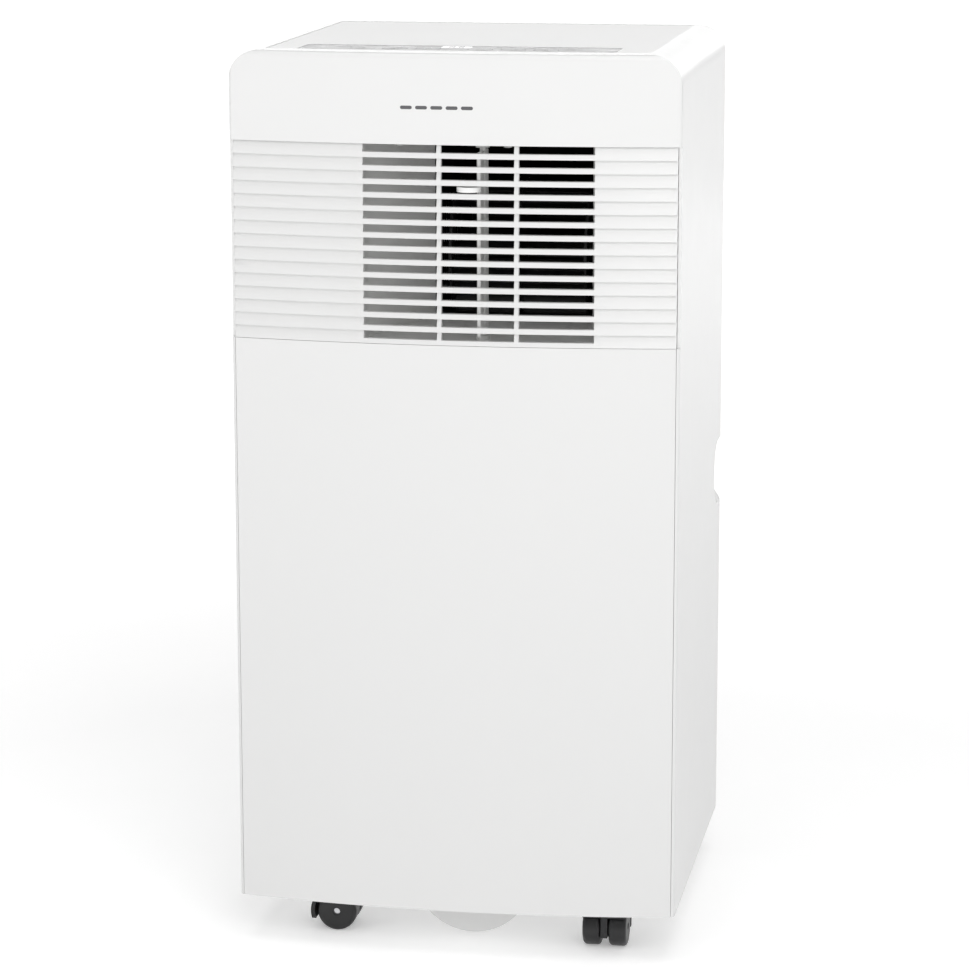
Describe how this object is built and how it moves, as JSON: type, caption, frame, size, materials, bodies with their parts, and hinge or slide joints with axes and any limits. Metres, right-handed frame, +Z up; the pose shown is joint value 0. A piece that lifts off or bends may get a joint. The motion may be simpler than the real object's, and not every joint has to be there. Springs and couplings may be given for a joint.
{
  "type": "portable air conditioner",
  "caption": "Upright white portable air conditioner on swivel casters, with a louvred front outlet, a swing vane, a top control strip, rear intakes and a round exhaust collar.",
  "frame": {"origin": "on the floor under the middle of the cabinet", "axes": "+X to the right seen from the front, +Y to the rear, +Z up"},
  "size_m": [0.328, 0.305, 0.668],
  "materials": {
    "shell_white": "satin",
    "panel_white": "satin",
    "cover_white": "fine texture",
    "strip_dark": "satin film",
    "key_dark": "satin film",
    "window_black": "gloss",
    "board_green": "satin",
    "duct_grey": "moulded",
    "vane_white": "satin",
    "scroll_black": "moulded",
    "fan_grey": "moulded",
    "motor_steel": "zinc plated",
    "coil_aluminium": "fins",
    "copper_tube": "drawn copper",
    "compressor_black": "satin",
    "rubber_black": "matte",
    "pan_grey": "moulded",
    "filter_grey": "mesh",
    "box_metal": "zinc plated",
    "capacitor_silver": "drawn can",
    "float_orange": "moulded",
    "nylon_white": "moulded",
    "screw_steel": "plated",
    "caster_black": "moulded nylon",
    "wheel_black": "moulded nylon",
    "axle_steel": "turned"
  },
  "bodies": {
    "cabinet": {"front_shell": "shell_white", "louver_grille": "shell_white", "lower_front_panel": "panel_white", "rear_shell": "shell_white", "top_cover": "cover_white", "control_overlay": "strip_dark", "display_window": "window_black", "control_board": "board_green", "air_outlet_duct": "duct_grey", "upper_fan_scroll": "scroll_black", "upper_fan_motor": "motor_steel", "evaporator": "coil_aluminium", "drip_deck": "pan_grey", "condenser": "coil_aluminium", "lower_fan_scroll": "scroll_black", "lower_fan_motor": "motor_steel", "exhaust_elbow": "duct_grey", "exhaust_collar": "cover_white", "compressor": "compressor_black", "compressor_grommets": "rubber_black", "discharge_pipe": "copper_tube", "suction_pipe": "copper_tube", "capillary_tube": "copper_tube", "base_pan": "pan_grey", "slinger_motor": "motor_steel", "float_bracket": "nylon_white", "electrical_box": "box_metal", "run_capacitor": "capacitor_silver", "cord_gland": "rubber_black", "cabinet_screws": "screw_steel"},
    "power_key_body": {"power_key": "key_dark"},
    "mode_key_body": {"mode_key": "key_dark"},
    "fan_key_body": {"fan_key": "key_dark"},
    "timer_key_body": {"timer_key": "key_dark"},
    "warmer_key_body": {"warmer_key": "key_dark"},
    "cooler_key_body": {"cooler_key": "key_dark"},
    "vane": {"swing_vane": "vane_white"},
    "upper_fan": {"upper_fan_wheel": "fan_grey"},
    "lower_fan": {"lower_fan_wheel": "fan_grey"},
    "slinger": {"slinger_wheel": "nylon_white"},
    "float": {"float_lever": "float_orange"},
    "upper_intake": {"upper_intake_grille": "shell_white", "upper_filter": "filter_grey"},
    "lower_intake": {"lower_intake_grille": "shell_white", "lower_filter": "filter_grey"},
    "upper_plug": {"upper_drain_plug": "rubber_black"},
    "lower_plug": {"lower_drain_plug": "rubber_black"},
    "front_left_caster": {"front_left_fork": "caster_black", "front_left_axle": "axle_steel"},
    "front_left_roller": {"front_left_wheels": "wheel_black"},
    "front_right_caster": {"front_right_fork": "caster_black", "front_right_axle": "axle_steel"},
    "front_right_roller": {"front_right_wheels": "wheel_black"},
    "rear_left_caster": {"rear_left_fork": "caster_black", "rear_left_axle": "axle_steel"},
    "rear_left_roller": {"rear_left_wheels": "wheel_black"},
    "rear_right_caster": {"rear_right_fork": "caster_black", "rear_right_axle": "axle_steel"},
    "rear_right_roller": {"rear_right_wheels": "wheel_black"}
  },
  "joints": [
    {"name": "power_press", "type": "slide", "parent": "cabinet", "child": "power_key_body", "axis": [0, 0, -1], "range_m": [0, 0.0005], "stiffness_N_per_m": 1500},
    {"name": "mode_press", "type": "slide", "parent": "cabinet", "child": "mode_key_body", "axis": [0, 0, -1], "range_m": [0, 0.0005], "stiffness_N_per_m": 1500},
    {"name": "fan_press", "type": "slide", "parent": "cabinet", "child": "fan_key_body", "axis": [0, 0, -1], "range_m": [0, 0.0005], "stiffness_N_per_m": 1500},
    {"name": "timer_press", "type": "slide", "parent": "cabinet", "child": "timer_key_body", "axis": [0, 0, -1], "range_m": [0, 0.0005], "stiffness_N_per_m": 1500},
    {"name": "warmer_press", "type": "slide", "parent": "cabinet", "child": "warmer_key_body", "axis": [0, 0, -1], "range_m": [0, 0.0005], "stiffness_N_per_m": 1500},
    {"name": "cooler_press", "type": "slide", "parent": "cabinet", "child": "cooler_key_body", "axis": [0, 0, -1], "range_m": [0, 0.0005], "stiffness_N_per_m": 1500},
    {"name": "vane_swing", "type": "hinge", "parent": "cabinet", "child": "vane", "pos_m": [0.0195, -0.128, 0.53], "axis": [0, 0, 1], "range_deg": [-28, 28]},
    {"name": "upper_fan_spin", "type": "hinge", "parent": "cabinet", "child": "upper_fan", "pos_m": [0.03, 0.0205, 0.5065], "axis": [1, 0, 0], "continuous": true},
    {"name": "lower_fan_spin", "type": "hinge", "parent": "cabinet", "child": "lower_fan", "pos_m": [-0.066, 0.07, 0.168], "axis": [0, 1, 0], "continuous": true},
    {"name": "slinger_spin", "type": "hinge", "parent": "cabinet", "child": "slinger", "pos_m": [0.0085, 0.085, 0.0514], "axis": [0, 1, 0], "continuous": true},
    {"name": "float_lift", "type": "hinge", "parent": "cabinet", "child": "float", "pos_m": [0.0835, 0.03, 0.062], "axis": [1, 0, 0], "range_deg": [0, 12]},
    {"name": "upper_intake_pull", "type": "slide", "parent": "cabinet", "child": "upper_intake", "axis": [0, 1, 0], "range_m": [0, 0.08]},
    {"name": "lower_intake_pull", "type": "slide", "parent": "cabinet", "child": "lower_intake", "axis": [0, 1, 0], "range_m": [0, 0.08]},
    {"name": "upper_plug_pull", "type": "slide", "parent": "cabinet", "child": "upper_plug", "axis": [0, 1, 0], "range_m": [0, 0.02]},
    {"name": "lower_plug_pull", "type": "slide", "parent": "cabinet", "child": "lower_plug", "axis": [0, 1, 0], "range_m": [0, 0.02]},
    {"name": "front_left_swivel", "type": "hinge", "parent": "cabinet", "child": "front_left_caster", "pos_m": [-0.109, -0.0931, 0.04], "axis": [0, 0, 1], "continuous": true},
    {"name": "front_left_roll", "type": "hinge", "parent": "front_left_caster", "child": "front_left_roller", "pos_m": [-0.097, -0.0931, 0.015], "axis": [0, 1, 0], "continuous": true},
    {"name": "front_right_swivel", "type": "hinge", "parent": "cabinet", "child": "front_right_caster", "pos_m": [0.109, -0.0931, 0.04], "axis": [0, 0, 1], "continuous": true},
    {"name": "front_right_roll", "type": "hinge", "parent": "front_right_caster", "child": "front_right_roller", "pos_m": [0.109, -0.1051, 0.015], "axis": [1, 0, 0], "continuous": true},
    {"name": "rear_left_swivel", "type": "hinge", "parent": "cabinet", "child": "rear_left_caster", "pos_m": [-0.109, 0.1, 0.04], "axis": [0, 0, 1], "continuous": true},
    {"name": "rear_left_roll", "type": "hinge", "parent": "rear_left_caster", "child": "rear_left_roller", "pos_m": [-0.109, 0.112, 0.015], "axis": [1, 0, 0], "continuous": true},
    {"name": "rear_right_swivel", "type": "hinge", "parent": "cabinet", "child": "rear_right_caster", "pos_m": [0.109, 0.1, 0.04], "axis": [0, 0, 1], "continuous": true},
    {"name": "rear_right_roll", "type": "hinge", "parent": "rear_right_caster", "child": "rear_right_roller", "pos_m": [0.097, 0.1, 0.015], "axis": [0, 1, 0], "continuous": true}
  ]
}
